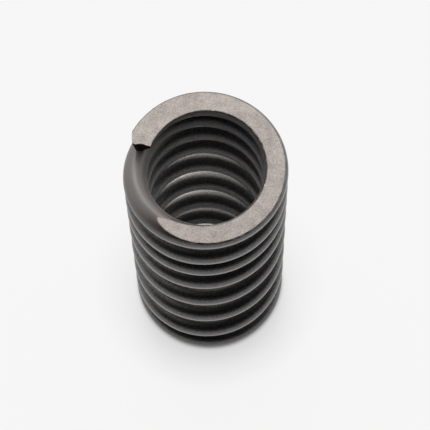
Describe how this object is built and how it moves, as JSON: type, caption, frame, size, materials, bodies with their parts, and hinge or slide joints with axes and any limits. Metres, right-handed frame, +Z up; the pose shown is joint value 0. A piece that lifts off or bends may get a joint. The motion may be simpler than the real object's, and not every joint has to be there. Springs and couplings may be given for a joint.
{
  "type": "valve spring",
  "caption": "Helical compression spring of round wire for an engine valve, wound right-handed, with closed ends ground flat and closer coils near one end.",
  "frame": {"origin": "middle of the bottom ground face, on the coil's axis", "axes": "+Z up along the coil's axis towards the end with the closer coils; +X to the right and +Y away from the viewer in the picture, so the upper wire tip points to about -X"},
  "size_m": [0.026, 0.026, 0.057],
  "materials": {
    "oil_tempered_wire": "dark oil-tempered spring steel, shot-peened to a satin; the ground ends are a lighter fine-grained grey"
  },
  "bodies": {
    "root": {"coil_spring": "oil_tempered_wire"}
  },
  "joints": []
}
